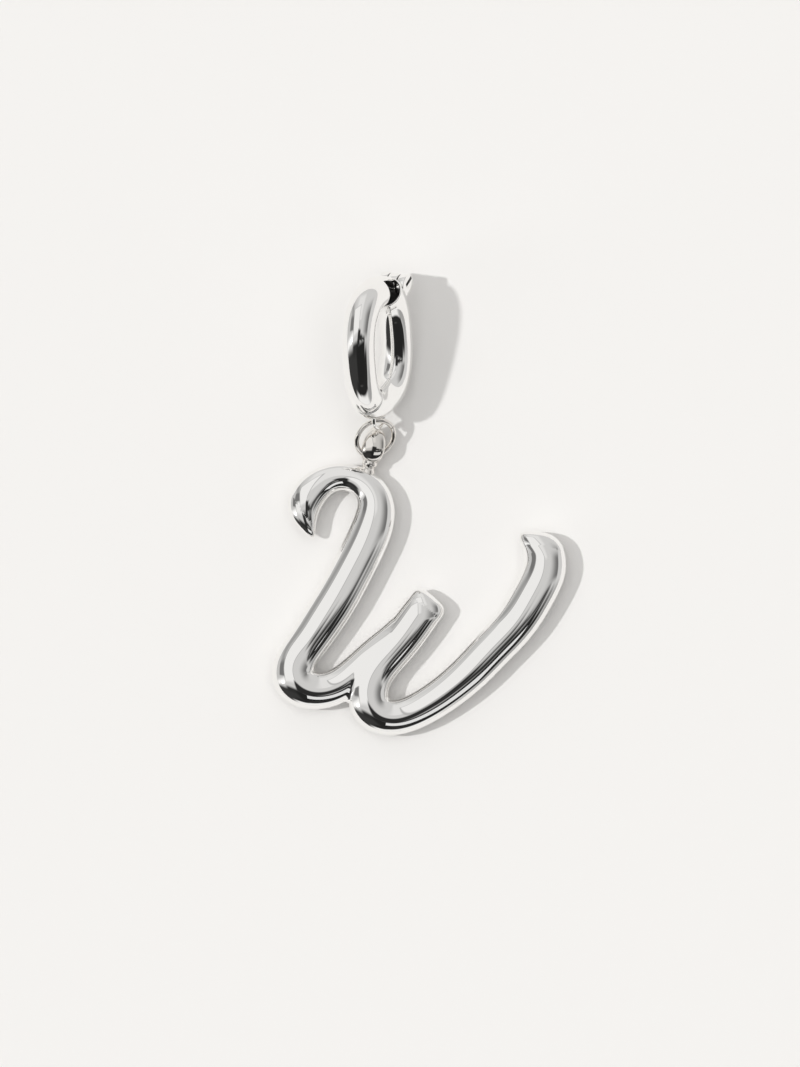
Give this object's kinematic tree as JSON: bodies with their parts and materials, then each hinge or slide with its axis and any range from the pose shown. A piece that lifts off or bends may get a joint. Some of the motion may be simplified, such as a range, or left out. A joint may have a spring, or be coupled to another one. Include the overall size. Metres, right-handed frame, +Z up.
{
  "type": "initial pendant",
  "caption": "Puffed script letter pendant in polished silver, soldered to a bail eye and hung by a jump ring from a hinged oval clip ring that opens to go over a chain.",
  "frame": {"origin": "On the table, under the middle of the pendant's bounding box.", "axes": "X runs across the letter to its right, Y up the pendant towards the clip ring, Z up from the table, out of the letter's front."},
  "size_m": [0.0298, 0.0464, 0.0117],
  "materials": {
    "silver": "polished"
  },
  "bodies": {
    "pendant": {"initial": "silver", "jump_ring": "silver", "clip_frame": "silver", "hinge_pin": "silver"},
    "gate": {"clip_gate": "silver"}
  },
  "joints": [
    {"name": "gate_hinge", "type": "hinge", "parent": "pendant", "child": "gate", "pos_m": [-0.00227, 0.02193, 0.004], "axis": [-0.89, 0.1251, -0.4384], "range_deg": [0, 50]}
  ]
}
